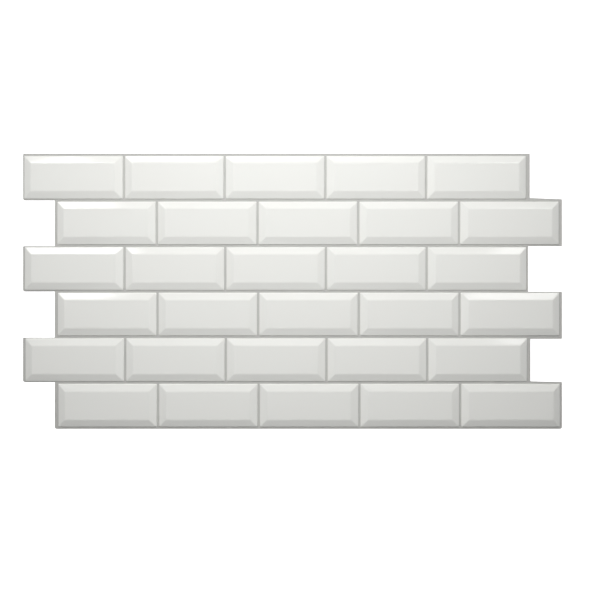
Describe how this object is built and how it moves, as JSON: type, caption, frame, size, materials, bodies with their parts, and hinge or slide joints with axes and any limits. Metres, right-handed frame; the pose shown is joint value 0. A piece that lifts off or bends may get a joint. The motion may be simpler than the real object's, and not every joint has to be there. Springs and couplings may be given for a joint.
{
  "type": "pvc wall panel",
  "caption": "Glossy white PVC wall panel, one vacuum-formed sheet of bevelled metro tiles in staggered bond with light grey grout lines and interlocking stepped ends.",
  "frame": {"origin": "middle of the sheet's bounding box, on the plane of its back, which lies on the wall", "axes": "+X along the tile rows, to the right as seen from the room; +Y up the wall; +Z off the wall, towards the room"},
  "size_m": [0.955, 0.488, 0.006],
  "materials": {
    "white_pvc": "glossy white calendered PVC with light grey matte printed grout lines"
  },
  "bodies": {
    "root": {"panel_sheet": "white_pvc"}
  },
  "joints": []
}
